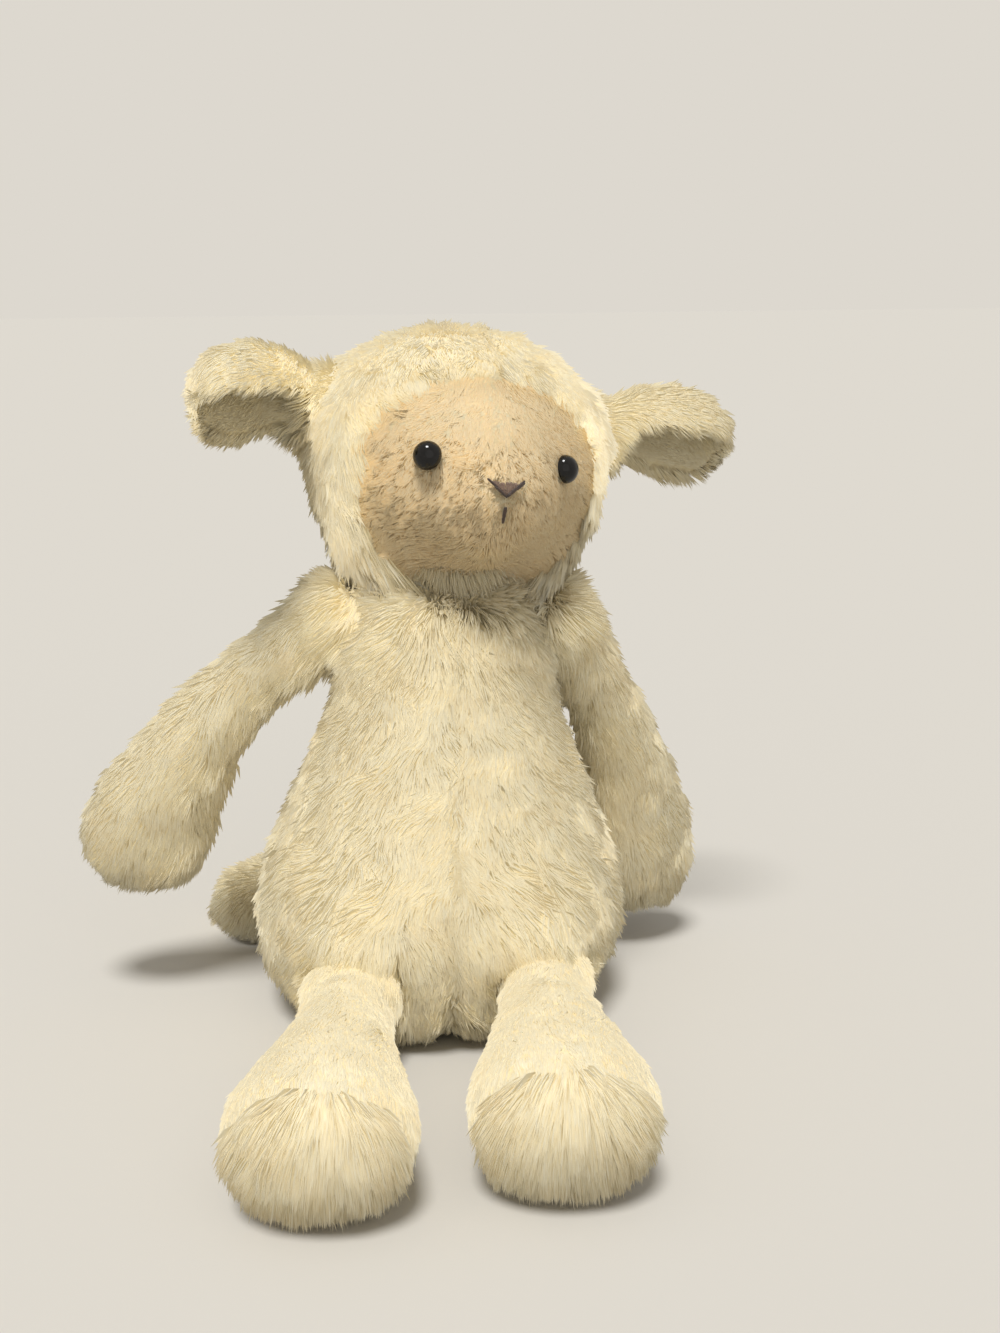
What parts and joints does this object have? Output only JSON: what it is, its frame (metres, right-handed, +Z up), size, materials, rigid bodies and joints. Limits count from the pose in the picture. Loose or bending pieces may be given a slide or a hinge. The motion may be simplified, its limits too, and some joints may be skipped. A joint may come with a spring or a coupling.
{
  "type": "plush sheep",
  "caption": "Seated plush sheep leaning back, with a wool hood round a short-pile face, gutter ears, long limp arms, big soft feet, a stub tail and sewn limb joints.",
  "frame": {"origin": "middle of the flat seat that the sheep sits on", "axes": "+Z up, the sheep looks along -Y, its own left side is +X"},
  "size_m": [0.228, 0.2222, 0.2192],
  "materials": {
    "wool": "cream wool pile",
    "short_pile": "beige short pile",
    "fibre_fill": "polyester fibre fill",
    "bag_cloth": "plain woven cloth",
    "pellets": "loose plastic pellets as one body",
    "eye": "glossy black",
    "washer": "natural plastic",
    "nose_thread": "satin-stitched thread",
    "mouth_thread": "satin-stitched thread"
  },
  "bodies": {
    "torso": {"front_left_panel": "wool", "front_right_panel": "wool", "back_left_panel": "wool", "back_right_panel": "wool", "seat_panel": "wool", "torso_stuffing": "fibre_fill", "pellet_bag": "bag_cloth", "pellets": "pellets"},
    "neck": {"neck": "wool"},
    "head": {"hood_left_panel": "wool", "hood_right_panel": "wool", "face_panel": "short_pile", "head_stuffing": "fibre_fill", "nose_stitches": "nose_thread", "mouth_stitches": "mouth_thread", "right_eye": "eye", "right_eye_washer": "washer", "left_eye": "eye", "left_eye_washer": "washer"},
    "right_ear": {"right_ear_outer_panel": "wool", "right_ear_lining": "wool"},
    "right_shoulder": {"right_shoulder_stuffing": "fibre_fill"},
    "right_arm": {"right_arm_front_panel": "wool", "right_arm_back_panel": "wool", "right_arm_stuffing": "fibre_fill"},
    "right_hip": {"right_hip_stuffing": "fibre_fill"},
    "right_leg": {"right_leg_outer_panel": "wool", "right_leg_inner_panel": "wool", "right_sole_panel": "wool", "right_leg_stuffing": "fibre_fill"},
    "left_ear": {"left_ear_outer_panel": "wool", "left_ear_lining": "wool"},
    "left_shoulder": {"left_shoulder_stuffing": "fibre_fill"},
    "left_arm": {"left_arm_front_panel": "wool", "left_arm_back_panel": "wool", "left_arm_stuffing": "fibre_fill"},
    "left_hip": {"left_hip_stuffing": "fibre_fill"},
    "left_leg": {"left_leg_outer_panel": "wool", "left_leg_inner_panel": "wool", "left_sole_panel": "wool", "left_leg_stuffing": "fibre_fill"},
    "tail": {"tail_cover": "wool", "tail_stuffing": "fibre_fill"}
  },
  "joints": [
    {"name": "head_turn", "type": "hinge", "parent": "torso", "child": "neck", "pos_m": [0.0095, 0.03337, 0.139], "axis": [0.061, 0.2329, 0.9706], "range_deg": [-30, 30]},
    {"name": "head_nod", "type": "hinge", "parent": "neck", "child": "head", "pos_m": [0.0095, 0.03337, 0.139], "axis": [0.9674, 0.2056, -0.1478], "range_deg": [-10, 10]},
    {"name": "right_arm_swing", "type": "hinge", "parent": "torso", "child": "right_shoulder", "pos_m": [-0.02812, 0.03021, 0.12599], "axis": [-1, 0, 0], "range_deg": [-40, 60]},
    {"name": "right_arm_raise", "type": "hinge", "parent": "right_shoulder", "child": "right_arm", "pos_m": [-0.02812, 0.03021, 0.12599], "axis": [0, 1, 0], "range_deg": [-10, 60]},
    {"name": "left_arm_swing", "type": "hinge", "parent": "torso", "child": "left_shoulder", "pos_m": [0.04328, 0.02933, 0.12201], "axis": [-0.9397, -0.342, 0], "range_deg": [-40, 60]},
    {"name": "left_arm_raise", "type": "hinge", "parent": "left_shoulder", "child": "left_arm", "pos_m": [0.04328, 0.02933, 0.12201], "axis": [0.342, -0.9397, 0], "range_deg": [0, 60]},
    {"name": "right_leg_lift", "type": "hinge", "parent": "torso", "child": "right_hip", "pos_m": [-0.03, -0.036, 0.022], "axis": [-1, 0, 0], "range_deg": [0, 35]},
    {"name": "right_leg_splay", "type": "hinge", "parent": "right_hip", "child": "right_leg", "pos_m": [-0.03, -0.036, 0.022], "axis": [0, 0, -1], "range_deg": [-3, 25]},
    {"name": "left_leg_lift", "type": "hinge", "parent": "torso", "child": "left_hip", "pos_m": [0.03, -0.0335, 0.022], "axis": [-1, 0, 0], "range_deg": [0, 25]},
    {"name": "left_leg_splay", "type": "hinge", "parent": "left_hip", "child": "left_leg", "pos_m": [0.03, -0.0335, 0.022], "axis": [0, 0, 1], "range_deg": [-3, 30]},
    {"name": "right_ear_flap", "type": "hinge", "parent": "head", "child": "right_ear", "pos_m": [-0.03037, 0.0413, 0.19687], "axis": [-0.6618, 0.7389, -0.1271], "range_deg": [-10, 35]},
    {"name": "left_ear_flap", "type": "hinge", "parent": "head", "child": "left_ear", "pos_m": [0.05766, 0.06001, 0.18342], "axis": [0.0288, -0.9682, 0.2484], "range_deg": [-10, 35]},
    {"name": "tail_wag", "type": "hinge", "parent": "torso", "child": "tail", "pos_m": [-0.014, 0.053, 0.018], "axis": [0, 0, -1], "range_deg": [0, 50]}
  ]
}
